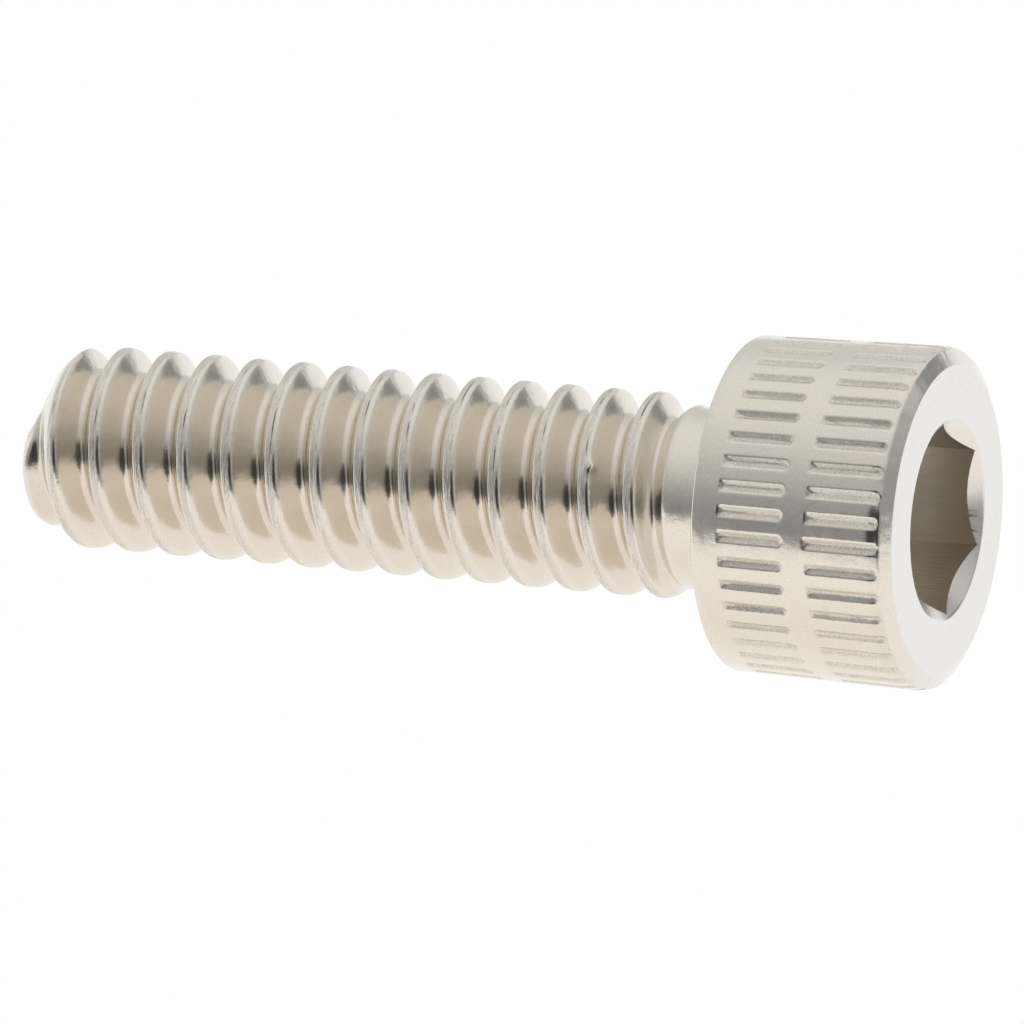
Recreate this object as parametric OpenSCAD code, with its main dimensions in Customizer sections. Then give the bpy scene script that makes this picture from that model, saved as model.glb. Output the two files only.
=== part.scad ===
// Hex socket cap screw with a knurled head, stainless steel, 6-32 UNC x 1/2 in.
// Millimetres. The screw stands on its head with the thread upward along +Z.
// The origin is the centre of the bearing face under the head, where the length
// under the head is measured from. The head lies below it and the thread above.

/* [Thread] */
// Major diameter, across the crests
thread_d = 3.38; // [3.3:0.01:3.5]
// Pitch, 32 threads to the inch
pitch = 0.79375; // [0.7:0.00625:0.9]
// Angle between the two flanks of the thread
flank_angle = 60; // [55:1:60]
// Width of the flat crest, as a share of the pitch
crest_share = 0.215; // [0.18:0.005:0.24]
// Depth of the rounded root below the crest, as a share of the pitch
root_share = 0.535; // [0.5:0.005:0.56]
// Angle about the axis at which the crest would meet the end of the screw
thread_end_angle = 219; // [0:1:359]

/* [Shank] */
// Length under the head, from the bearing face to the end
length = 12.5; // [8:0.1:20]
// Diameter of the unthreaded neck under the head
neck_d = 2.99; // [2.9:0.01:3.1]
// Length of the neck that stays plain
neck_l = 0.88; // [0.5:0.02:1.6]
// Length over which the thread fades in beside the neck
runout_l = 0.6; // [0.3:0.05:1]
// Radius of the fillet between the neck and the bearing face
fillet_r = 0.25; // [0.2:0.01:0.3]
// Radial width of the bevel at the end
end_bevel_w = 0.37; // [0.2:0.01:0.5]
// Length of the bevel at the end
end_bevel_l = 0.7; // [0.4:0.05:1.2]
// How far the last ridge stands past the rest of the end
end_step = 0.25; // [0.05:0.01:0.3]
// Rise of the radius per length past the last root, where the ridge was hardly rolled
end_rise = 0.35; // [0.2:0.01:0.6]

/* [Head] */
// Diameter of the head at the chamfer around the socket face
head_d = 5.62; // [5.4:0.01:5.8]
// How much narrower the head is beside the bearing face
head_flare = 0.13; // [0.02:0.01:0.2]
// Height of the head, from the bearing face to the socket face
head_h = 3.4; // [3.2:0.01:3.6]
// Radial width of the chamfer around the socket face
chamfer_w = 0.3; // [0.1:0.01:0.35]
// Height of that chamfer
chamfer_h = 0.13; // [0.08:0.01:0.2]
// Size of the small break on the edge beside the bearing face
edge_break = 0.05; // [0.03:0.01:0.1]

/* [Socket] */
// Width across the flats of the socket, for a 7/64 in key
socket_af = 2.78; // [2.6:0.01:2.8]
// Depth to which the flats are full
socket_depth = 1.66; // [1.5:0.02:1.8]
// How far the countersunk mouth reaches past the corners of the hexagon
mouth_lip = 0.06; // [0.02:0.005:0.15]
// Angle across the countersunk mouth
mouth_angle = 110; // [90:5:120]
// Angle across the shallow cone at the bottom
bottom_angle = 150; // [140:5:160]

/* [Knurl] */
// Number of strokes around each row
knurl_count = 42; // [36:1:48]
// Width of a stroke at the surface
stroke_w = 0.2; // [0.14:0.01:0.24]
// Depth of a stroke
stroke_depth = 0.07; // [0.04:0.01:0.09]
// Length of the slope at each pointed end of a stroke
stroke_tip_l = 0.12; // [0.06:0.01:0.14]
// Plain band between the bearing face and the first row
first_band = 0.46; // [0.3:0.01:0.6]
// Length of the strokes in the first row
first_row_l = 1.15; // [0.8:0.01:1.3]
// Plain band between the two rows
middle_band = 0.37; // [0.2:0.01:0.6]
// Plain band between the second row and the chamfer
last_band = 0.05; // [0.03:0.01:0.3]

/* [Hidden] */
$fn = 96;

// Facets in one turn of the thread
turn_facets = 40;
// How far cuts and joined solids reach past the face they meet
over = 0.1;
// How far the thread's core stays inside the neck where the two overlap
core_inset = 0.03;
// Share of the root's depth that the straight flanks reach
straight_share = 0.87;
// Angles past thread_end_angle where the last ridge starts to drop, is gone,
// starts to rise again and is back at full height
ridge_drops = 83;
ridge_gone = 112;
ridge_rises = 240;
ridge_back = 300;
// Angles before thread_end_angle where the last ridge is still full and where it has gone flat
ridge_full = 100;
ridge_flat = 40;

neck_r = neck_d / 2;
core_r = neck_r - core_inset;
crest_r = thread_d / 2;
head_r = head_d / 2;
head_base_r = head_r - head_flare / 2;
mouth_r = socket_af / 2 / cos(30) + mouth_lip;
second_row_start = first_band + first_row_l + middle_band;
second_row_l = head_h - chamfer_h - last_band - second_row_start;
root_depth = root_share * pitch;
// Depth at which a straight flank gives way to the rounded root
flank_depth = root_depth * straight_share;
crest_half = crest_share / 2;
flank_reach = crest_half + flank_depth * tan(flank_angle / 2) / pitch;

// Radius of the sharp thread against the place in one pitch, where 0 is mid-crest
thread_profile = [
    [0, crest_r],
    [crest_half, crest_r],
    [flank_reach, crest_r - flank_depth],
    [0.5, crest_r - root_depth],
    [1 - flank_reach, crest_r - flank_depth],
    [1 - crest_half, crest_r],
    [1, crest_r]
];
// The places in one pitch that carry a line of corners
line_places = [-crest_half, crest_half, flank_reach, 0.5, 1 - flank_reach];
lines_a_pitch = len(line_places);

// Height of corner line g at angle a, counting lines upward along the thread
function line_z(g, a) =
    let (turn = floor(g / lines_a_pitch), j = g - turn * lines_a_pitch)
    length + pitch * (turn + line_places[j] + (a - thread_end_angle) / 360);

// Place in the pitch, from 0 to 1, of height z at angle a
function pitch_place(a, z) =
    let (t = (z - length) / pitch - (a - thread_end_angle) / 360)
    t - floor(t);

// Bevel at the end of the screw
function bevel_r(z) =
    lookup(z, [[length - end_bevel_l, crest_r], [length, crest_r - end_bevel_w]]);

// Angle from thread_end_angle onward, from 0 to 360
function past_end(a) = let (t = (a - thread_end_angle) / 360) 360 * (t - floor(t));

// Height of the end at angle a: the last ridge runs out past the rest of it
function end_z(a) =
    length - end_step * lookup(past_end(a),
        [[ridge_drops, 0], [ridge_gone, 1], [ridge_rises, 1], [ridge_back, 0]]);

// Past the last root the surface rises gently to the end instead of up a full ridge
function end_rise_r(a, z) =
    let (turn = past_end(a), near = turn < 180 ? turn : turn - 360,
        last_root_z = length + pitch * (near / 360 - 0.5),
        slope = lookup(near, [[-ridge_full, 2], [-ridge_flat, end_rise]]))
    z > last_root_z ? crest_r - root_depth + slope * (z - last_root_z) : crest_r;

// The thread fades from the neck's radius to its full form
function fade(z) = lookup(z, [[neck_l, 0], [neck_l + runout_l, 1]]);

// Radius of the threaded shank at angle a and height z
function shank_r(a, z) =
    let (r = lookup(pitch_place(a, z), thread_profile))
    min(core_r + (r - core_r) * fade(z), bevel_r(z), end_rise_r(a, z));

function on_shank(a, z) = let (r = shank_r(a, z)) [r * cos(a), r * sin(a), z];

module threaded_shank() {
    n = turn_facets;
    least = pitch / n / 2;
    first_line = -lines_a_pitch * ceil((length - neck_l) / pitch + 2);
    last_line = lines_a_pitch * 2;
    // The corner lines that lie between the neck and the end, at each angle
    columns = [for (i = [0 : n - 1])
        let (a = 360 * i / n)
        [for (g = [first_line : last_line])
            if (line_z(g, a) > neck_l + least && line_z(g, a) < end_z(a) - least) g]];
    corners = [for (i = [0 : n - 1])
        let (a = 360 * i / n)
        each concat(
            [on_shank(a, neck_l - over), on_shank(a, neck_l)],
            [for (g = columns[i]) on_shank(a, line_z(g, a))],
            [on_shank(a, end_z(a))])];
    tip = len(corners);
    starts = [for (i = 0, s = 0; i < n; s = s + len(columns[i]) + 3, i = i + 1) s];

    // One full turn on, line g of the last column is line g + lines_a_pitch of the first
    function wrap(i) = i == n ? 0 : i;
    function shift(i) = i == n ? lines_a_pitch : 0;
    function lowest(i) = columns[wrap(i)][0] - shift(i);
    function highest(i) = let (c = columns[wrap(i)]) c[len(c) - 1] - shift(i);
    function corner(i, g) = starts[wrap(i)] + 2 + g - lowest(i);
    function foot(i) = starts[wrap(i)];
    function bottom(i) = starts[wrap(i)] + 1;
    function top(i) = starts[wrap(i)] + len(columns[wrap(i)]) + 2;

    side = [for (i = [0 : n - 1])
        let (j = i + 1, low = lowest(i), high = min(highest(i), highest(j)))
        each concat(
            [[foot(i), bottom(i), bottom(j), foot(j)],
             [bottom(i), corner(i, low), bottom(j)],
             [bottom(j), corner(i, low), corner(j, lowest(j))]],
            [for (g = [lowest(j) : 1 : low - 1])
                [corner(j, g), corner(i, low), corner(j, g + 1)]],
            [for (g = [low : 1 : high - 1]) each [
                [corner(i, g), corner(i, g + 1), corner(j, g)],
                [corner(j, g), corner(i, g + 1), corner(j, g + 1)]]],
            [for (g = [high : 1 : highest(i) - 1])
                [corner(i, g), corner(i, g + 1), corner(j, high)]],
            [for (g = [high : 1 : highest(j) - 1])
                [corner(j, g), corner(i, high), corner(j, g + 1)]],
            [[corner(i, highest(i)), top(i), corner(j, highest(j))],
             [corner(j, highest(j)), top(i), top(j)]])];
    lower_end = [[for (i = [0 : n - 1]) foot(i)]];
    upper_end = [for (i = [0 : n - 1]) [top(i), tip, top(i + 1)]];
    polyhedron(concat(corners, [[0, 0, length - end_step]]),
        concat(side, lower_end, upper_end));
}

// Plain neck with the fillet that runs into the bearing face
module neck() {
    translate([0, 0, -over]) cylinder(r = neck_r, h = neck_l + over);
    rotate_extrude() difference() {
        translate([0, -over]) square([neck_r + fillet_r, fillet_r + over]);
        translate([neck_r + fillet_r, fillet_r]) circle(r = fillet_r);
    }
}

module head_blank() {
    rotate_extrude() polygon([
        [0, -head_h],
        [head_r - chamfer_w, -head_h],
        [head_r, chamfer_h - head_h],
        [head_base_r, -edge_break],
        [head_base_r - edge_break, 0],
        [0, 0]
    ]);
}

// Space of the socket: a countersunk mouth, the hexagon and a shallow conical bottom
module socket_space() {
    mouth_slope = tan(mouth_angle / 2);
    mouth_h = mouth_r / mouth_slope;
    bottom_h = socket_af / 2 / tan(bottom_angle / 2);
    translate([0, 0, -head_h]) {
        translate([0, 0, -over])
            cylinder(r1 = mouth_r + over * mouth_slope, r2 = 0, h = mouth_h + over);
        translate([0, 0, -over])
            cylinder(d = socket_af / cos(30), h = socket_depth + over, $fn = 6);
        translate([0, 0, socket_depth])
            cylinder(d1 = socket_af, d2 = 0, h = bottom_h);
    }
}

// Radius of the head's side at a depth below the bearing face
function head_side_r(depth) =
    lookup(depth, [[edge_break, head_base_r], [head_h - chamfer_h, head_r]]);

// Cutter of one stroke: a V groove with pointed ends, along X at the surface z = 0
module stroke_cutter(l) {
    grow = (stroke_depth + over) / stroke_depth;
    keel = l / 2 - stroke_tip_l;
    w = stroke_w / 2 * grow;
    tip = keel + stroke_tip_l * grow;
    polyhedron(
        [[-keel, 0, -stroke_depth], [keel, 0, -stroke_depth],
         [-keel, -w, over], [keel, -w, over], [tip, 0, over],
         [keel, w, over], [-keel, w, over], [-tip, 0, over]],
        [[2, 3, 1, 0], [5, 6, 0, 1], [3, 4, 1], [4, 5, 1],
         [6, 7, 0], [7, 2, 0], [7, 6, 5, 4, 3, 2]]);
}

// One row of strokes around the head, from a depth below the bearing face
module knurl_row(start, l) {
    taper = atan((head_side_r(start + l) - head_side_r(start)) / l);
    for (i = [0 : knurl_count - 1])
        rotate([0, 0, 360 * i / knurl_count])
            translate([head_side_r(start + l / 2), 0, -start - l / 2])
                rotate([0, 90 - taper, 0])
                    stroke_cutter(l);
}

module head() {
    difference() {
        head_blank();
        socket_space();
        knurl_row(first_band, first_row_l);
        knurl_row(second_row_start, second_row_l);
    }
}

module screw() {
    color("lightgray") union() {
        head();
        neck();
        threaded_shank();
    }
}

screw();
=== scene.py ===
"""A hex socket cap screw with a knurled head, in bright stainless steel.

The screw stands on its socket face on a pale floor, with its thread upward along Z.
It is cold headed: head, socket and knurl are pressed, and the thread is rolled.
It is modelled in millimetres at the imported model's place and brought to metres last.
"""

from math import acos, atan2, ceil, cos, degrees, floor, hypot, pi, radians, sin, tan

import bmesh
import bpy
from mathutils import Matrix, Vector, noise


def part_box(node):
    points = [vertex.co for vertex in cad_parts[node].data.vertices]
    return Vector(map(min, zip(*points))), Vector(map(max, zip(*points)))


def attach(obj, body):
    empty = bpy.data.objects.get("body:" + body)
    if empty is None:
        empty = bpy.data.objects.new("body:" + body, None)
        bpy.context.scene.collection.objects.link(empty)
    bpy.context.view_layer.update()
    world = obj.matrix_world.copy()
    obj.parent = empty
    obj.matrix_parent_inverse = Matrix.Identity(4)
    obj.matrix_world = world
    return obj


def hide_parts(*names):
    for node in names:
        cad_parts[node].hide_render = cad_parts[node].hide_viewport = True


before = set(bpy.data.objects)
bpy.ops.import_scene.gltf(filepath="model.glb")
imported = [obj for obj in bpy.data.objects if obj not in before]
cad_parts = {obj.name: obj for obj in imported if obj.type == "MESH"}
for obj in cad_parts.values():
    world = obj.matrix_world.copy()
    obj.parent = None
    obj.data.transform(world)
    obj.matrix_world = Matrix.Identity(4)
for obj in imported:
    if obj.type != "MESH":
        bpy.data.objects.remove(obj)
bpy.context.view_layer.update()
MM = 0.001

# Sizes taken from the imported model, in millimetres
LOW, HIGH = (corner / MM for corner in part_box("screw"))
LENGTH = HIGH.z
HEAD_H = -LOW.z
HEAD_R = (HIGH.x - LOW.x) / 2

# Thread, 32 to the inch
PITCH = 25.4 / 32
CREST_R = 1.69
CREST_HALF = 0.215 * PITCH / 2
TIP_EDGE_R = 0.045
HEAD_EDGE_R = 0.078
ROOT_DEPTH = 0.425
ROOT_R = 0.1145
FLANK_SLOPE = tan(radians(60))
THREAD_END_ANGLE = 219
TURN_STEPS = 120
SEAM_AT = -0.01
SEAM_HALF_W = 0.014
SEAM_DEPTH = 0.025
# Angles over which the seam opens and closes again, and places between which the crest lies
SEAM_OPENS = (-80, -60)
SEAM_CLOSES = (175, 150)
CREST_STARTS = (-0.06, -0.042)
CREST_ENDS = (0.075, 0.06)
NICK_ANGLE = -60
NICK_HALF_ANGLE = 3.5
NICK_Z = 2.29
BURR_H = 0.07
BURR_LEAN = 0.06

# Neck, run-out and the bevelled end
NECK_R = 1.495
NECK_L = 0.88
RUNOUT_L = 0.6
FILLET_R = 0.25
END_BEVEL_W = 0.37
END_BEVEL_L = 0.7
END_STEP = 0.25
END_RISE = 0.35
END_FACE_R = 1.2
END_DISH = 0.05
# Shares of the end's step, and how far its rim has fallen in, by degrees past the thread's end
STEP_SHARES = ((65, 0), (112, 1), (240, 1), (300, 0))
FALLEN_IN = ((45, 0), (70, 0.12), (100, 0.26), (115, 0.24), (150, 0.05), (175, 0))
# Lengths beside the bearing face and the end where corners shift for the fillet and the step
FILLET_ZONE = 0.6
STEP_ZONE = 0.5

# Head and socket
HEAD_FLARE = 0.13
HEAD_BASE_R = HEAD_R - HEAD_FLARE / 2
EDGE_BREAK = 0.05
CHAMFER_EDGE_R = 0.05
FACE_EDGE_R = 0.015
CHAMFER_W = 0.3
CHAMFER_H = 0.13
FACE_R = HEAD_R - CHAMFER_W
SOCKET_AF = 2.78
SOCKET_CORNER_R = SOCKET_AF / 2 / cos(radians(30))
SOCKET_DEPTH = 1.66
MOUTH_R = SOCKET_CORNER_R + 0.06
MOUTH_SLOPE = tan(radians(55))
MOUTH_EDGE_R = 0.1
SOCKET_BOTTOM_H = SOCKET_AF / 2 / tan(radians(75))
# Angles over which the painted dark reflection on the mouth's rim begins and ends
DARK_RIM_STARTS = (95, 102)
DARK_RIM_ENDS = (126, 118)

# Knurl: two rows of pressed strokes
STROKES = 42
STROKE_W = 0.2
STROKE_DEPTH = 0.07
STROKE_TIP_L = 0.12
STROKE_POINT_L = 0.07
ROW_STARTS = (0.46, 1.98)
ROW_ENDS = (1.61, 3.24)
LAND_DROP = 0.04
LAND_DROP_L = 0.18
# Columns of corners beside the keel of a stroke, in millimetres along the surface
STROKE_COLUMNS = (0, 0.035, 0.07, 0.1, 0.125, 0.17)
COLUMNS_A_STROKE = 2 * len(STROKE_COLUMNS) - 1

# Marks that the steel's material reads from the mesh: pitted, roughened, painted shade in
# the open seam with a painted dark reflection on the mouth's rim, drawn out in streaks,
# skinned by the punch, ground clean and tinted by rolling oil
MARKS = ("grainy", "dull", "painted_seam_shade_and_rim_reflection", "streaked", "punched", "ground", "rolled")

# The photograph: lens, distance and angles of the camera
FOCAL_LENGTH = 487
CAMERA_DISTANCE = 225.7
CAMERA_RIGHT = 3.924
CAMERA_UP = 0.149
TURN = radians(16.57)
TILT = radians(22.3)
ROLL = radians(-85.05)


def smooth(low, high, value):
    """0 below low, 1 above high and a soft rise between them."""
    t = min(max((value - low) / (high - low), 0), 1)
    return t * t * (3 - 2 * t)


def between(points, value):
    """The height over value of the line through (place, height) points."""
    for (x0, y0), (x1, y1) in zip(points, points[1:]):
        if value <= x1:
            return y0 + (y1 - y0) * max(value - x0, 0) / (x1 - x0)
    return points[-1][1]


def softer_min(a, b, width):
    """The lower of two heights, with the corner between them rounded over width."""
    return (a + b - hypot(a - b, width)) / 2


def rough(point, grain, seed=0):
    """Noise from -1 to 1 at a point in millimetres, with that grain size."""
    return noise.noise(Vector(point) / grain + Vector((seed, seed * 2.3, seed * 5.1)))


def rounded(corners, steps=3):
    """An outline through (radius, height, rounding) corners with arcs at the rounded ones."""
    outline = []
    for i, (x, y, radius) in enumerate(corners):
        here = Vector((x, y))
        if not radius:
            outline.append(here)
            continue
        back = (Vector(corners[i - 1][:2]) - here).normalized()
        onward = (Vector(corners[i + 1][:2]) - here).normalized()
        half = acos(back.dot(onward)) / 2
        centre = here + (back + onward).normalized() * radius / sin(half)
        first = here + back * radius / tan(half) - centre
        last = here + onward * radius / tan(half) - centre
        outline += [centre + radius * first.slerp(last, k / steps) for k in range(steps + 1)]
    return outline


def in_edit_mode(piece):
    """Selects all of one piece in edit mode, and nothing else."""
    bpy.ops.object.select_all(action="DESELECT")
    piece.select_set(True)
    bpy.context.view_layer.objects.active = piece
    bpy.ops.object.mode_set(mode="EDIT")
    bpy.ops.mesh.select_mode(type="VERT")
    bpy.ops.mesh.select_all(action="SELECT")


def drawn_line(name, points):
    """A chain of edges in the XZ plane, drawn point by point from one corner."""
    bpy.ops.object.select_all(action="DESELECT")
    bpy.ops.mesh.primitive_plane_add(size=1)
    line = bpy.context.object
    line.name = line.data.name = name
    in_edit_mode(line)
    bpy.ops.mesh.merge(type="CENTER")
    here = Vector((points[0][0], 0, points[0][1]))
    bpy.ops.transform.translate(value=here)
    for x, z in points[1:]:
        there = Vector((x, 0, z))
        bpy.ops.mesh.extrude_vertices_move(TRANSFORM_OT_translate={"value": there - here})
        here = there
    return line


def select_edges(piece, chosen):
    """In edit mode, selects the open edges whose both ends are chosen."""
    bpy.ops.mesh.select_mode(type="EDGE")
    bpy.ops.mesh.select_all(action="DESELECT")
    mesh = bmesh.from_edit_mesh(piece.data)
    for edge in mesh.edges:
        if edge.is_boundary and all(chosen(v.co) for v in edge.verts):
            edge.select = True
    mesh.select_flush(True)
    bmesh.update_edit_mesh(piece.data)


def marks(mesh):
    """A layer for each mark of making, and one for the place that a drawn-out grain reads."""
    layers = [mesh.verts.layers.float.new(name) for name in MARKS]
    return layers + [mesh.verts.layers.float_vector.new("drawn_out")]


def crest_side(edge_r):
    """Half of a crest, from its flat over the rounded edge and down the flank."""
    flat_half = CREST_HALF - edge_r * tan(radians(30))
    edge = [
        (flat_half + edge_r * sin(radians(a)), edge_r * (1 - cos(radians(a))))
        for a in (0, 15, 30, 45, 60)
    ]
    return edge + [(x, (x - CREST_HALF) * FLANK_SLOPE) for x in (0.15, 0.19, 0.23, 0.27)]


def thread_outline():
    """One pitch of the rolled thread as (place along it, depth below the crest)."""
    centre_depth = ROOT_DEPTH - ROOT_R
    root = [
        (PITCH / 2 - ROOT_R * cos(radians(a)), centre_depth + ROOT_R * sin(radians(a)))
        for a in (30, 50, 70, 90, 110, 130, 150)
    ]
    painted_seam_shade_and_rim_reflection = [
        (SEAM_AT + SEAM_HALF_W * aside, SEAM_DEPTH * share)
        for aside, share in ((-1, 0), (-0.5, 0.2), (0, 1), (0.5, 0.2), (1, 0))
    ]
    start = [(0.01, 0), (0.035, 0)]
    far_side = [(PITCH - x, d) for x, d in reversed(crest_side(HEAD_EDGE_R))]
    onward = [(PITCH + x, d) for x, d in painted_seam_shade_and_rim_reflection + start[:1]]
    return start + crest_side(TIP_EDGE_R) + root + far_side + onward


OUTLINE = thread_outline()


def thread_depth(turn_angle, z):
    """Depth below the crest at an angle in degrees and a height, and the place along the pitch."""
    along = (z - LENGTH) / PITCH - (turn_angle - THREAD_END_ANGLE) / 360
    place = (along - floor(along)) * PITCH
    first = OUTLINE[0][0]
    return between(OUTLINE, place if place >= first else place + PITCH), place


def end_height(turn_angle):
    """Height of the screw's end: the last ridge runs out past the rest of it."""
    turn = (turn_angle - THREAD_END_ANGLE) % 360
    return LENGTH - END_STEP * between(STEP_SHARES, turn)


def end_rise_depth(turn_angle, z):
    """Depth below the crest past the last root, where the ridge was hardly rolled."""
    turn = (turn_angle - THREAD_END_ANGLE + 180) % 360 - 180
    past_root = z - LENGTH - PITCH * (turn / 360 - 0.5)
    slope = between([(-100, 2), (-40, END_RISE)], turn)
    return ROOT_DEPTH - slope * past_root if past_root > 0 else 0


def bevel_radius(turn_angle, z):
    """Radius of the bevelled end, fallen in where the ridge beside it was hardly rolled."""
    start = LENGTH - END_BEVEL_L
    plain = between([(start, CREST_R + 0.02), (LENGTH, CREST_R - END_BEVEL_W)], z)
    turn = (turn_angle - THREAD_END_ANGLE) % 360
    return plain - between(FALLEN_IN, turn) * smooth(LENGTH - 0.6, LENGTH - 0.1, z)


def threaded_shank():
    """The neck and the rolled thread as one open skin, from the bearing face to the end."""
    turns = ceil(LENGTH / PITCH) + 2
    start = LENGTH - PITCH * (turns + THREAD_END_ANGLE / 360)
    shank = drawn_line("shank", [(CREST_R - depth, start + x) for x, depth in OUTLINE])
    bpy.ops.object.mode_set(mode="OBJECT")
    screw = shank.modifiers.new("turns", "SCREW")
    screw.axis = "Z"
    screw.screw_offset = PITCH
    screw.steps = screw.render_steps = TURN_STEPS
    screw.iterations = turns + 1
    screw.use_merge_vertices = False
    bpy.ops.object.modifier_apply(modifier=screw.name)
    in_edit_mode(shank)
    bpy.ops.mesh.remove_doubles(threshold=0.001)
    for height, outward in ((0, -1), (LENGTH, 1)):
        bpy.ops.mesh.select_all(action="SELECT")
        bpy.ops.mesh.bisect(
            plane_co=(0, 0, height),
            plane_no=(0, 0, outward),
            clear_outer=True,
            threshold=1e-5,
        )
    bpy.ops.mesh.select_all(action="SELECT")
    bpy.ops.mesh.remove_doubles(threshold=0.004)
    bpy.ops.object.mode_set(mode="OBJECT")
    shape_shank(shank)
    return shank


def shape_shank(shank):
    """Fades the thread into the neck, bevels the end and roughens the crest."""
    mesh = bmesh.new()
    mesh.from_mesh(shank.data)
    grainy, dull, painted_seam_shade_and_rim_reflection, streaked, _, _, rolled, drawn_out = marks(mesh)
    end_zone = LENGTH - STEP_ZONE
    arc_l = FILLET_R * pi / 2
    for corner in mesh.verts:
        angle = atan2(corner.co.y, corner.co.x)
        turn_angle = degrees(angle)
        z = corner.co.z
        if z > end_zone:
            shrink = (end_height(turn_angle) - end_zone) / STEP_ZONE
            z = end_zone + (z - end_zone) * shrink
        depth, place = thread_depth(turn_angle, z)
        depth = max(depth, end_rise_depth(turn_angle, z))
        full = smooth(NECK_L, NECK_L + RUNOUT_L, z)
        from_middle = place if place < PITCH / 2 else place - PITCH
        on_crest = smooth(*CREST_STARTS, from_middle) * smooth(*CREST_ENDS, from_middle) * full
        here = (CREST_R * cos(angle), CREST_R * sin(angle), z)
        # the seam of the rolled crest comes and goes, and is closed on one side of the screw
        open_seam = smooth(-0.1, 0.25, rough(here, 0.3, 3))
        open_seam *= smooth(-0.3, 0.1, rough(here, 1.1, 6))
        open_seam *= smooth(*SEAM_OPENS, turn_angle) * smooth(*SEAM_CLOSES, turn_angle)
        from_seam = abs(from_middle - SEAM_AT)
        in_seam = 1 - smooth(0.003, 0.012, from_seam)
        if from_seam < SEAM_HALF_W + 0.002:
            depth *= open_seam
        depth += on_crest * 0.005 * rough(here, 0.12, 1) + 0.004 * rough(here, 0.35, 2)
        # a nick has turned a small burr over the edge of one crest
        nick = max(1 - abs(turn_angle - NICK_ANGLE) / NICK_HALF_ANGLE, 0)
        nick *= smooth(0.1, 0.05, abs(z - NICK_Z))
        depth -= BURR_H * nick
        z -= BURR_LEAN * nick
        radius = NECK_R + (CREST_R - depth - NECK_R) * full
        uncut = smooth(0, 0.04, bevel_radius(turn_angle, z) - radius)
        radius = softer_min(radius, bevel_radius(turn_angle, z), 0.03)
        if z < arc_l:
            bend = (arc_l - z) / FILLET_R
            radius += FILLET_R * (1 - cos(bend))
            z = FILLET_R * (1 - sin(bend))
        elif z < FILLET_ZONE:
            z = FILLET_R + (z - arc_l) * (FILLET_ZONE - FILLET_R) / (FILLET_ZONE - arc_l)
        corner.co = (radius * cos(angle), radius * sin(angle), z)
        corner[grainy] = 0.3 * on_crest * (1 - nick)
        corner[dull] = 0.8 * on_crest * (1 - nick)
        corner[streaked] = on_crest * (1 - nick)
        # painted shade in the open seam of the crest
        corner[painted_seam_shade_and_rim_reflection] = 0.8 * in_seam * open_seam * full * (1 - nick)
        corner[rolled] = smooth(0.03, 0.1, depth) * full * uncut
        # rolling draws the grain of the crest out round the thread
        corner[drawn_out] = (0.12 * corner.co.x, 0.12 * corner.co.y, corner.co.z)
    mesh.to_mesh(shank.data)
    mesh.free()


def close_end(shank):
    """Draws the open rim at the end inward, ring by ring, to a shallow dished face."""
    in_edit_mode(shank)
    select_edges(shank, lambda co: co.z > LENGTH / 2)
    middle = LENGTH - END_STEP - END_DISH
    rings = (0.95, 0.85, 0.65, 0.4, 0.18)
    before = 1
    for share in rings:
        bpy.ops.mesh.extrude_edges_move()
        shrink = share / before
        bpy.ops.transform.resize(
            value=(shrink, shrink, (share + 1) / (before + 1)), center_override=(0, 0, middle)
        )
        before = share
    bpy.ops.mesh.edge_face_add()
    bpy.ops.mesh.poke()
    # the press leaves the face even, so the ripple and the marks of its rim end beside it
    bpy.ops.mesh.select_all(action="DESELECT")
    mesh = bmesh.from_edit_mesh(shank.data)
    layers = [mesh.verts.layers.float[name] for name in MARKS]
    for corner in mesh.verts:
        if corner.co.z > middle - 0.2 and hypot(corner.co.x, corner.co.y) < END_FACE_R:
            corner.select = True
            for layer in layers:
                corner[layer] = 0
    bmesh.update_edit_mesh(shank.data)
    bpy.ops.mesh.vertices_smooth(factor=0.5, repeat=8)
    bpy.ops.object.mode_set(mode="OBJECT")


def knurl_rows():
    """Depths of the rings that carry the two rows of strokes."""
    depths = []
    for start, end in zip(ROW_STARTS, ROW_ENDS):
        tip = [STROKE_TIP_L * k / 4 for k in range(5)]
        body = [(end - start) * k / 10 for k in range(2, 9)]
        depths += [start - 0.07, start - 0.02]
        depths += [start + t for t in tip] + [start + b for b in body]
        depths += [end - t for t in reversed(tip)] + [end + 0.02, end + 0.07]
    return sorted(depths)


def side_radius(depth):
    """Radius of the slightly tapered head at a depth below the bearing face."""
    return between([(0, HEAD_BASE_R), (HEAD_H - CHAMFER_H, HEAD_R)], depth)


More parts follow.
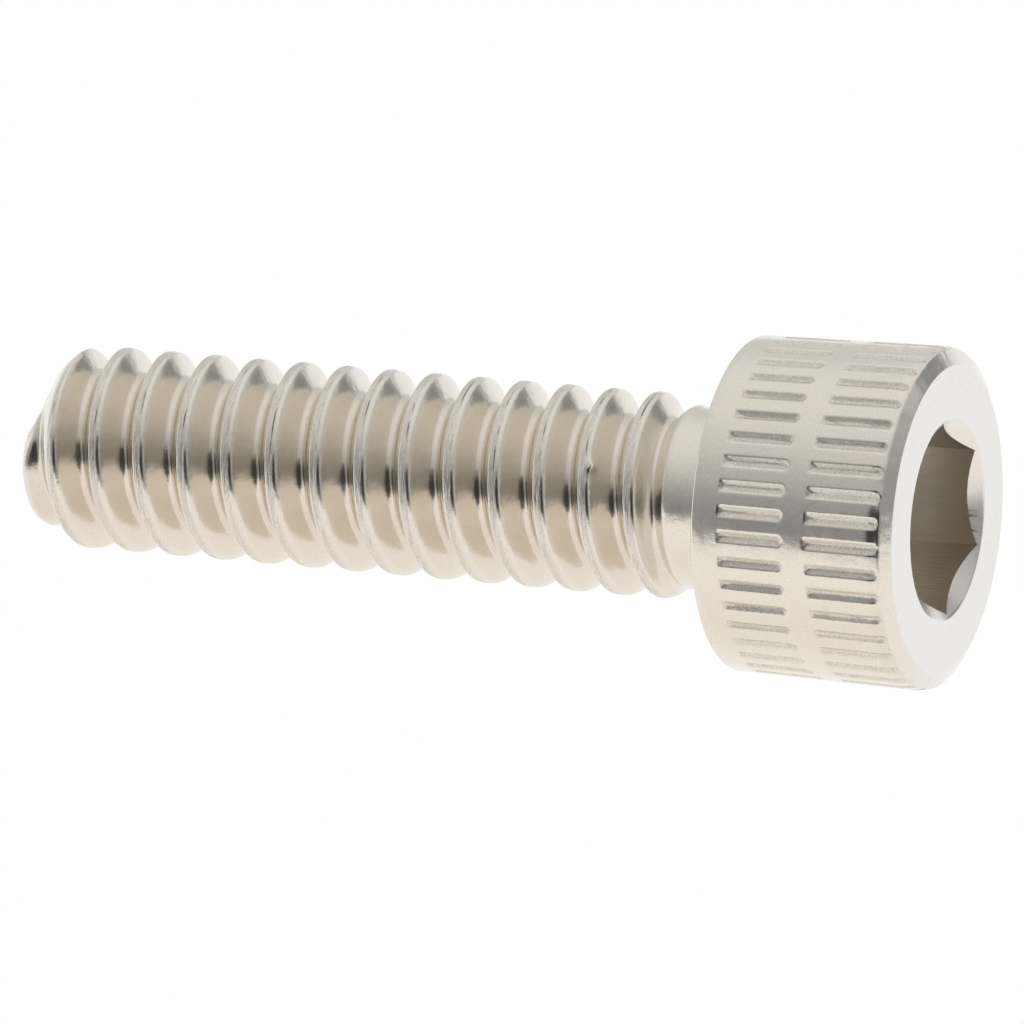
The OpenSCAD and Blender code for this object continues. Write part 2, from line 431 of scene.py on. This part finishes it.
def head_outline():
    """Outline of the head and the socket, from the hole for the shank round to the axis."""
    land_end = HEAD_H - CHAMFER_H - LAND_DROP_L
    side = sorted([0.2, *knurl_rows(), land_end - 0.03])
    side = [d for d in side if d < HEAD_H - CHAMFER_H - 0.025]
    corners = [(NECK_R + FILLET_R + 0.1, 0, 0), (HEAD_BASE_R, 0, EDGE_BREAK)]
    corners += [(side_radius(d), d, 0) for d in side]
    corners += [(HEAD_R, HEAD_H - CHAMFER_H, CHAMFER_EDGE_R)]
    corners += [(HEAD_R - CHAMFER_W * k, HEAD_H - CHAMFER_H * (1 - k), 0) for k in (0.15, 0.85)]
    corners += [(FACE_R, HEAD_H, FACE_EDGE_R), (FACE_R - 0.04, HEAD_H, 0)]
    corners += [(MOUTH_R + 0.06, HEAD_H, 0), (MOUTH_R, HEAD_H, MOUTH_EDGE_R)]
    corners += [(MOUTH_R - 0.04, HEAD_H - 0.04 / MOUTH_SLOPE, 0)]
    wall = (0, 0.012, 0.25, 0.5, 0.9, 1.3, SOCKET_DEPTH)
    corners += [(SOCKET_CORNER_R, HEAD_H - d, 0) for d in wall]
    corners += [
        (SOCKET_AF / 2 * share, HEAD_H - SOCKET_DEPTH - SOCKET_BOTTOM_H * (1 - share), 0)
        for share in (0.99, 0.6, 0.25, 0)
    ]
    return [(point.x, -point.y) for point in rounded(corners)]


def head():
    """The head with its socket, turned about the axis and then pressed to shape."""
    outline = head_outline()
    blank = drawn_line("cap_screw", outline)
    bpy.ops.mesh.select_all(action="SELECT")
    bpy.ops.mesh.spin(
        steps=STROKES * COLUMNS_A_STROKE, angle=2 * pi, center=(0, 0, 0), axis=(0, 0, 1)
    )
    bpy.ops.mesh.select_all(action="SELECT")
    bpy.ops.mesh.remove_doubles(threshold=0.0005)
    bpy.ops.object.mode_set(mode="OBJECT")
    press_head(blank)
    return blank


def column_angle(angle):
    """Where an even column of corners goes, its stroke, and how far it is beside the keel."""
    columns = STROKES * COLUMNS_A_STROKE
    column = round(angle / (2 * pi) * columns)
    stroke = round(column / COLUMNS_A_STROKE)
    beside = column - stroke * COLUMNS_A_STROKE
    aside = STROKE_COLUMNS[abs(beside)] / HEAD_R * (1 if beside > 0 else -1)
    return stroke * 2 * pi / STROKES + aside, stroke % STROKES, aside * HEAD_R


def stroke_depth(stroke, row, aside, depth):
    """How deep a stroke is pressed at a place on the head, and how much the press marks it."""
    uneven = [rough((stroke * 3.7, row * 9.1, k * 5.3), 1) for k in range(4)]
    width = STROKE_W / 2 * (1 + 0.15 * uneven[2])
    across = 1 - abs(aside) / width
    start = ROW_STARTS[row] + 0.03 * uneven[0]
    # the end toward the face is drawn out to a point
    end = ROW_ENDS[row] + 0.03 * uneven[1] + 0.02 - STROKE_POINT_L * (1 - max(across, 0))
    along = min(depth - start, end - depth) / STROKE_TIP_L
    pressed = max(min(softer_min(across, 0.85, 0.15), along), 0)
    return STROKE_DEPTH * (1 + 0.15 * uneven[3]) * pressed, smooth(0, 0.2, min(across, along))


def socket_radius(angle):
    """Distance from the axis to the flats of the hexagon."""
    turn = (degrees(angle) + 360) % 60 - 30
    return SOCKET_AF / 2 / cos(radians(turn))


def press_head(blank):
    """Presses the knurl and the hexagon, by moving the corners of the turned blank."""
    mesh = bmesh.new()
    mesh.from_mesh(blank.data)
    grainy, dull, painted_seam_shade_and_rim_reflection, streaked, punched, ground, _, drawn_out = marks(mesh)
    side_end = HEAD_H - CHAMFER_H
    for corner in mesh.verts:
        radius = hypot(corner.co.x, corner.co.y)
        if radius < 1e-4:
            continue
        angle, stroke, aside = column_angle(atan2(corner.co.y, corner.co.x))
        depth = -corner.co.z
        here = (radius * cos(angle), radius * sin(angle), -depth)
        if radius < SOCKET_CORNER_R + 1e-3 and HEAD_H - depth > 0.01:
            # the skin is worn off further in
            corner[punched] = 1 - smooth(0.3, 0.8, HEAD_H - depth)
            corner[streaked] = 0.35
            corner[dull] = 0.8
        elif depth > side_end + 0.03:
            corner[ground] = 1 if radius < FACE_R + 0.01 else 0.1
            corner[dull] = 0.5 if radius < MOUTH_R - 0.03 else 0
        if radius < SOCKET_CORNER_R + 1e-3 and HEAD_H - depth < 1e-3:
            # a painted dark reflection on one side of the mouth's rim, coming and going along it
            turn_angle = degrees(angle)
            dark_rim = smooth(*DARK_RIM_STARTS, turn_angle) * smooth(*DARK_RIM_ENDS, turn_angle)
            corner[painted_seam_shade_and_rim_reflection] = dark_rim * smooth(-0.1, 0.35, rough((turn_angle, 0, 0), 1.2, 7))
        if abs(radius - SOCKET_CORNER_R) < 1e-3:
            radius = socket_radius(angle)
            if HEAD_H - depth < 0.02:
                depth -= (MOUTH_R - radius) / MOUTH_SLOPE
        elif radius > FACE_R + CHAMFER_W / 3 and depth > 1e-3:
            row = 0 if depth < (ROW_ENDS[0] + ROW_STARTS[1]) / 2 else 1
            pressed, marked = stroke_depth(stroke, row, aside, depth)
            if depth > side_end + 0.005:
                pressed = marked = 0
            radius -= pressed
            # beside the chamfer the lands slope away to it
            drop = min(max(depth - side_end + LAND_DROP_L, 0) / LAND_DROP_L, 1)
            radius -= LAND_DROP * (1 + 0.35 * rough(here, 0.2, 8)) * drop
            radius += 0.004 * rough(here, 0.5, 4)
            radius += 0.003 * min(pressed / 0.02, 1) * rough(here, 0.08, 5)
            corner[grainy] = 0.6 * marked
            corner[dull] = marked
        corner.co = (radius * cos(angle), radius * sin(angle), -depth)
        # the punch draws its marks out along the socket
        corner[drawn_out] = (corner.co.x, corner.co.y, 0.08 * corner.co.z)
    mesh.to_mesh(blank.data)
    mesh.free()


def cap_screw():
    """The whole screw as one closed piece, in metres."""
    shank = threaded_shank()
    close_end(shank)
    piece = head()
    bpy.ops.object.select_all(action="DESELECT")
    shank.select_set(True)
    piece.select_set(True)
    bpy.context.view_layer.objects.active = piece
    bpy.ops.object.join()
    in_edit_mode(piece)
    select_edges(piece, lambda co: abs(co.z) < 0.01)
    bpy.ops.mesh.bridge_edge_loops()
    bpy.ops.mesh.select_all(action="SELECT")
    bpy.ops.mesh.normals_make_consistent(inside=False)
    bpy.ops.object.mode_set(mode="OBJECT")
    piece.scale = (MM, MM, MM)
    bpy.ops.object.transform_apply(scale=True)
    bpy.ops.object.shade_smooth_by_angle(angle=radians(42))
    return piece


def colour(code):
    """Linear colour of an sRGB hex code."""
    parts = [int(code[i : i + 2], 16) / 255 for i in (1, 3, 5)]
    return [c / 12.92 if c <= 0.04045 else ((c + 0.055) / 1.055) ** 2.4 for c in parts] + [1]


def add(tree, kind, inputs=None, output=0, **settings):
    """Adds a shader node with its settings, values and links, and gives one of its outputs."""
    node = tree.nodes.new("ShaderNode" + kind)
    for name, value in settings.items():
        setattr(node, name, value)
    for name, value in (inputs or {}).items():
        if isinstance(value, bpy.types.NodeSocket):
            tree.links.new(value, node.inputs[name])
        else:
            node.inputs[name].default_value = value
    return node.outputs[output] if node.outputs else None


def stainless_steel():
    """Bright stainless steel, cold headed and rolled.

    It is smooth where the tools slid and grainy where they pressed.
    """
    made = bpy.data.materials.new("bright_stainless_steel")
    made.use_nodes = True
    tree = made.node_tree
    tree.nodes.clear()
    place = add(tree, "TexCoord", output="Object")
    drawn_out = add(tree, "Attribute", output="Vector", attribute_name="drawn_out")
    grainy, dull, painted_seam_shade_and_rim_reflection, streaked, punched, ground, rolled = (
        add(tree, "Attribute", output="Fac", attribute_name=name) for name in MARKS
    )

    # pitting of the drawn wire, about 0.03 mm across, waves of the pressed skin, about
    # 0.4 mm long, and streaks that dies and punch drew out, about 0.035 mm wide
    pits, waves, streaks = (
        add(tree, "TexNoise", {"Vector": where, "Scale": 1 / size, "Detail": 2, "Roughness": 0.6})
        for where, size in ((place, 0.03 * MM), (place, 0.4 * MM), (drawn_out, 0.035))
    )
    # pits are deeper where a tool pressed, waves are low in the socket and on the ground
    # parts, and streaks are on the crests and in the socket
    slid = add(tree, "Math", {0: punched, 1: ground}, operation="MAXIMUM")
    normal = None
    for height, share, least, most in (
        (pits, grainy, 0.07, 0.6),
        (waves, slid, 0.5, 0.1),
        (streaks, streaked, 0, 1),
    ):
        strength = add(tree, "MapRange", {"Value": share, "To Min": least, "To Max": most})
        rough_skin = {"Height": height, "Strength": strength, "Distance": 0.02 * MM}
        if normal:
            rough_skin["Normal"] = normal
        normal = add(tree, "Bump", rough_skin)

    # rougher where the tools pressed than where they slid
    evenly = add(tree, "Math", {0: dull, 1: 0.17, 2: 0.19}, operation="MULTIPLY_ADD")
    mottled = add(
        tree,
        "MapRange",
        {"Value": waves, "From Min": 0.3, "From Max": 0.7, "To Min": -0.03, "To Max": 0.03},
    )
    roughness = add(tree, "Math", {0: evenly, 1: mottled}, operation="ADD")

    # painted shade: the pits and the places between the streaks are painted darker, as light is
    # lost in them
    most_in_pits = add(tree, "MapRange", {"Value": grainy, "To Min": 0.08, "To Max": 0.45})
    in_pits = add(
        tree,
        "MapRange",
        {"Value": pits, "From Min": 0.4, "From Max": 0.6, "To Max": most_in_pits},
    )
    most_in_streaks = add(tree, "Math", {0: streaked, 1: 0.16}, operation="MULTIPLY")
    in_streaks = add(
        tree,
        "MapRange",
        {"Value": streaks, "From Min": 0.42, "From Max": 0.58, "To Max": most_in_streaks},
    )
    painted_hollow_shade = add(tree, "Math", {0: in_pits, 1: in_streaks}, operation="ADD", use_clamp=True)

    # the face and its edges were ground clean, the thread keeps the straw tint of its
    # rolling oil, a brown skin of phosphate and oil is left in the socket, painted shade
    # darkens the open seam of the crest, and a painted dark reflection lies on one side of
    # the mouth's rim
    steel = colour("#EBE7E0")
    for share, code in (
        (ground, "#ECEAE6"),
        (rolled, "#E7E1D7"),
        # painted shade in the pits and between the streaks
        (painted_hollow_shade, "#8A8680"),
        (punched, "#D3CABD"),
        # painted shade in the crest's seam and a painted dark reflection on the mouth's rim
        (painted_seam_shade_and_rim_reflection, "#4A4641"),
    ):
        steel = add(tree, "Mix", {0: share, 6: steel, 7: colour(code)}, output=2, data_type="RGBA")

    shader = add(
        tree,
        "BsdfPrincipled",
        {"Base Color": steel, "Metallic": 1, "Roughness": roughness, "Normal": normal},
    )
    add(tree, "OutputMaterial", {"Surface": shader})
    return made


def pale_floor():
    """Matt white board that shows from above only, so that the view from below stays clear."""
    made = bpy.data.materials.new("matt_white_board")
    made.use_nodes = True
    tree = made.node_tree
    tree.nodes.clear()
    seen = add(tree, "LightPath", output="Is Camera Ray")
    back = add(tree, "NewGeometry", output="Backfacing")
    front = add(tree, "Math", {0: 1, 1: back}, operation="SUBTRACT")
    shown = add(tree, "Math", {0: seen, 1: front}, operation="MULTIPLY")
    board = add(tree, "BsdfDiffuse", {"Color": colour("#F4F3F1")})
    clear = add(tree, "BsdfTransparent")
    mixed = add(tree, "MixShader", {0: shown, 1: clear, 2: board})
    add(tree, "OutputMaterial", {"Surface": mixed})
    return made


def camera_turn():
    """The camera's right, up and back directions as columns."""
    return (
        Matrix.Rotation(TURN, 3, "Z")
        @ Matrix.Rotation(radians(90) + TILT, 3, "X")
        @ Matrix.Rotation(ROLL, 3, "Z")
    )


def camera():
    """A long lens at the photograph's distance and angle."""
    turn = camera_turn()
    right, up, back = turn.col
    lens = bpy.data.cameras.new("camera")
    lens.lens = FOCAL_LENGTH
    lens.sensor_width = 36
    made = bpy.data.objects.new("camera", lens)
    bpy.context.scene.collection.objects.link(made)
    made.rotation_euler = turn.to_euler()
    made.location = (back * CAMERA_DISTANCE - right * CAMERA_RIGHT - up * CAMERA_UP) * MM
    bpy.context.scene.camera = made


def studio():
    """A white table and backdrop round the screw, and the dimmer room in front of them."""
    world = bpy.data.worlds.new("studio")
    bpy.context.scene.world = world
    world.use_nodes = True
    tree = world.node_tree
    tree.nodes.clear()
    right, up, back = camera_turn().col
    doorway = (-0.5 * back + 0.33 * up + 0.80 * right).normalized()
    direction = add(tree, "TexCoord", output="Generated")
    toward_camera, height, rightward, toward_doorway = (
        add(tree, "VectorMath", {0: direction, 1: axis}, output="Value", operation="DOT_PRODUCT")
        for axis in (back, up, right, doorway)
    )

    # the photographer and the camera in front of the screw, wider than they are high
    aside, above = (
        add(tree, "Math", {0: value, 1: 1 / half, 2: offset / half}, operation="MULTIPLY_ADD")
        for value, half, offset in ((rightward, 0.66, 0.06), (height, 0.42, 0.17))
    )
    aside_squared = add(tree, "Math", {0: aside, 1: aside}, operation="MULTIPLY")
    from_camera = add(
        tree, "Math", {0: above, 1: above, 2: aside_squared}, operation="MULTIPLY_ADD"
    )
    # the table's edge falls toward the camera and, less, toward the right
    in_front = add(tree, "Math", {0: toward_camera, 1: 0}, operation="MAXIMUM")
    at_right = add(tree, "Math", {0: rightward, 1: 0}, operation="MAXIMUM")
    edge = add(tree, "Math", {0: in_front, 1: 0.6, 2: height}, operation="MULTIPLY_ADD")
    edge = add(tree, "Math", {0: at_right, 1: 0.13, 2: edge}, operation="MULTIPLY_ADD")

    # how far each part of the room is reached, from 0 to 1 over a soft rim
    rims = {
        "ceiling": (height, -0.25, 1.1),
        "far wall": (toward_camera, -0.3, -0.8),
        "over the backdrop": (height, 0.3, 0.5),
        "camera": (from_camera, 1, 0.45),
        "camera side": (toward_camera, 0, 0.2),
        "doorway": (toward_doorway, 0.96, 0.99),
        "beside the doorway": (toward_doorway, 0.99, 0.96),
        "backdrop side": (toward_camera, 0.15, -0.1),
        "backdrop end": (rightward, 0.95, 0.82),
        "backdrop top": (height, 0.42, 0.34),
        "backdrop foot": (height, -0.5, -0.3),
        "table": (edge, 0.03, -0.03),
        "under the screw": (height, -0.7, -0.95),
    }
    share = {
        name: add(
            tree,
            "MapRange",
            {"Value": value, "From Min": low, "From Max": high},
            interpolation_type="SMOOTHSTEP",
        )
        for name, (value, low, high) in rims.items()
    }
    for whole, parts in (
        ("high back", ("far wall", "over the backdrop")),
        ("photographer", ("camera", "camera side")),
        ("backdrop rim", ("backdrop top", "backdrop end", "beside the doorway")),
        ("backdrop", ("backdrop side", "backdrop foot", "backdrop rim")),
    ):
        share[whole] = share[parts[0]]
        for part in parts[1:]:
            both = {0: share[whole], 1: share[part]}
            share[whole] = add(tree, "Math", both, operation="MULTIPLY")

    # dim low down and light toward the ceiling, and each part over the ones before it
    surroundings = colour("#939291")
    for part, code in (
        ("ceiling", "#F1EDE8"),
        ("high back", "#D8D9D6"),
        ("photographer", "#393634"),
        ("doorway", "#8A8B89"),
        ("backdrop", "#FFFFFF"),
        ("table", "#FFF9F3"),
        ("under the screw", "#F8F1E9"),
    ):
        painted = {0: share[part], 6: surroundings, 7: colour(code)}
        surroundings = add(tree, "Mix", painted, output=2, data_type="RGBA")

    camera_ray, glossy_ray, transmission_ray = (
        add(tree, "LightPath", output=name)
        for name in ("Is Camera Ray", "Is Glossy Ray", "Is Transmission Ray")
    )
    # mirrored rays see the plain white where the backdrop is, as the camera does all round
    clear = add(tree, "Math", {0: glossy_ray, 1: transmission_ray}, operation="ADD")
    white = add(
        tree, "Math", {0: clear, 1: share["backdrop"], 2: camera_ray}, operation="MULTIPLY_ADD"
    )
    light = add(tree, "Background", {"Color": surroundings, "Strength": 1})
    plain = add(tree, "Background", {"Color": colour("#FFFFFF"), "Strength": 1})
    mixed = add(tree, "MixShader", {0: white, 1: light, 2: plain})
    add(tree, "OutputWorld", {"Surface": mixed})


def floor_board():
    """The pale floor that the screw stands on."""
    bpy.ops.object.select_all(action="DESELECT")
    bpy.ops.mesh.primitive_plane_add(size=0.4, location=(0, 0, LOW.z * MM - 0.00001))
    board = bpy.context.object
    board.name = "floor"
    board.data.materials.append(pale_floor())


camera()
studio()
floor_board()
screw = cap_screw()
screw.data.materials.clear()
screw.data.materials.append(stainless_steel())
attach(screw, "root")
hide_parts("screw")

bpy.context.scene.view_settings.view_transform = "Standard"
